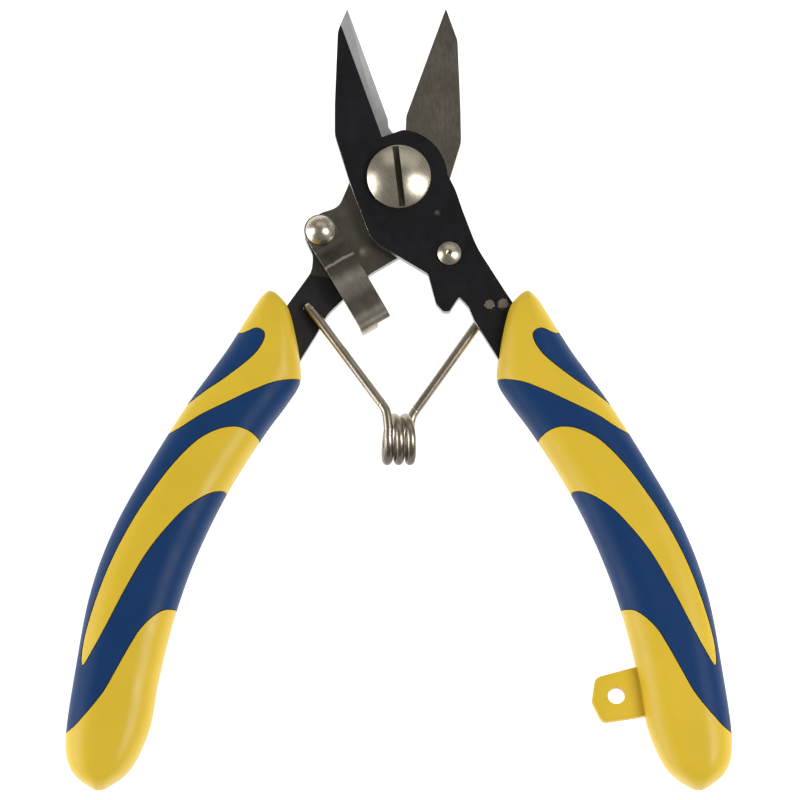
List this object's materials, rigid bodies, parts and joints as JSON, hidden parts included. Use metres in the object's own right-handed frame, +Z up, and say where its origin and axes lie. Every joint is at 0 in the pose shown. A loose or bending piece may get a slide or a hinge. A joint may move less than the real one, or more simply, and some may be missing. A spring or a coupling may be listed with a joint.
{
  "type": "flush cutter",
  "caption": "Spring-loaded hand cutter with crossed shear blades, a slotted pivot screw, a side latch and two-colour moulded grips with a lanyard tab.",
  "frame": {"origin": "centre of the open cutter's outline, on the surface that it lies on", "axes": "+Z up from the lying cutter, through its front face; +Y from the grips to the blade tips; +X towards the right grip, which carries the lanyard tab"},
  "size_m": [0.1154, 0.1378, 0.0125],
  "materials": {
    "black_oxide_steel": "satin black oxide with bright ground edges",
    "ground_steel": "dark ground steel, brushed",
    "nickel_plate": "warm satin nickel",
    "latch_steel": "brushed sheet steel",
    "spring_wire": "drawn spring wire",
    "yellow_grip": "satin moulded plastic",
    "blue_inlay": "matte soft-touch elastomer"
  },
  "bodies": {
    "front": {"front_half": "black_oxide_steel", "pivot_screw": "nickel_plate", "pivot_washer": "spring_wire", "pivot_nut": "nickel_plate", "stop_pin": "nickel_plate", "right_grip": "yellow_grip", "right_upper_inlay": "blue_inlay", "right_main_inlay": "blue_inlay"},
    "rear": {"rear_half": "ground_steel", "latch_rivet": "nickel_plate", "left_grip": "yellow_grip", "left_upper_inlay": "blue_inlay", "left_main_inlay": "blue_inlay"},
    "latch": {"latch_lever": "latch_steel"},
    "spring_right": {"spring_right": "spring_wire"},
    "spring_left": {"spring_left": "spring_wire"}
  },
  "joints": [
    {"name": "jaw_pivot", "type": "hinge", "parent": "front", "child": "rear", "pos_m": [0, 0.03848, 0.00625], "axis": [0, 0, 1], "range_deg": [0, 31.5], "stiffness_Nm_per_rad": 0.5, "springref_deg": -11.46},
    {"name": "latch_pivot", "type": "hinge", "parent": "rear", "child": "latch", "pos_m": [-0.0137, 0.02933, 0.0069], "axis": [0, 0, 1], "range_deg": [-10, 4.5]},
    {"name": "spring_eye_pivot", "type": "hinge", "parent": "front", "child": "spring_right", "pos_m": [0.0158, 0.01598, 0.00625], "axis": [0, 0, 1], "range_deg": [0, 34.5]},
    {"name": "spring_coil_flex", "type": "hinge", "parent": "spring_right", "child": "spring_left", "pos_m": [0, -0.00287, 0.00625], "axis": [0, 0, 1], "range_deg": [-37, 0]}
  ],
  "couplings": [
    {"joint": "spring_eye_pivot", "follows": "jaw_pivot", "ratio": 1.082},
    {"joint": "spring_coil_flex", "follows": "jaw_pivot", "ratio": -1.164}
  ]
}
